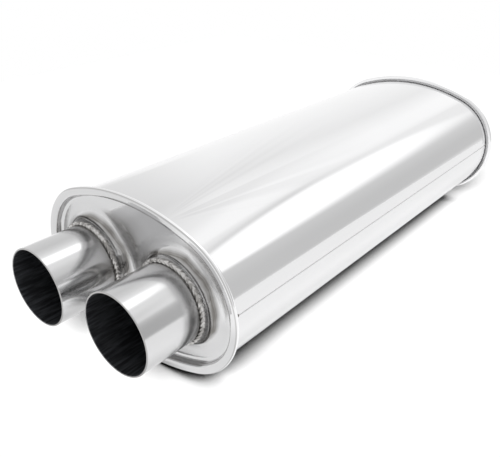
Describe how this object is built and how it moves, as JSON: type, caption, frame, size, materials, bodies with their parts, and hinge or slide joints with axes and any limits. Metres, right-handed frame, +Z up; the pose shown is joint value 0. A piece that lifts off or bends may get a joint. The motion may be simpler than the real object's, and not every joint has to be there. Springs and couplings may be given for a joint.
{
  "type": "muffler",
  "caption": "Oval straight-through exhaust muffler: polished shell, recessed hemmed end caps and two pipe necks at each end.",
  "frame": {"origin": "middle of the body, halfway between the two rim faces and between the four pipe mouths", "axes": "+Y along the body from the front mouths to the rear mouths, +X across the oval's width towards the shell's seam, +Z up"},
  "size_m": [0.21, 0.563, 0.138],
  "materials": {
    "polished_shell": "mirror-polished stainless sheet",
    "seam": "ground weld in a narrow groove",
    "pressed_cap": "polished stainless pressing, slightly softer in the recess",
    "polished_pipe": "polished stainless tube, dark inside",
    "weld_bead": "bright rippled weld",
    "core_weld": "as-welded steel",
    "perforated_core": "mill-finish perforated stainless",
    "steel_wool": "loose steel wool",
    "glass_fibre": "packed glass fibre"
  },
  "bodies": {
    "root": {"shell": "polished_shell", "seam_weld": "seam", "front_cap": "pressed_cap", "rear_cap": "pressed_cap", "front_pipe_left": "polished_pipe", "front_pipe_right": "polished_pipe", "rear_pipe_left": "polished_pipe", "rear_pipe_right": "polished_pipe", "weld_front_left": "weld_bead", "weld_front_right": "weld_bead", "weld_rear_left": "weld_bead", "weld_rear_right": "weld_bead", "core_left": "perforated_core", "core_right": "perforated_core", "core_weld_left": "core_weld", "core_weld_right": "core_weld", "wool_left": "steel_wool", "wool_right": "steel_wool", "packing_left": "glass_fibre", "packing_right": "glass_fibre"}
  },
  "joints": []
}
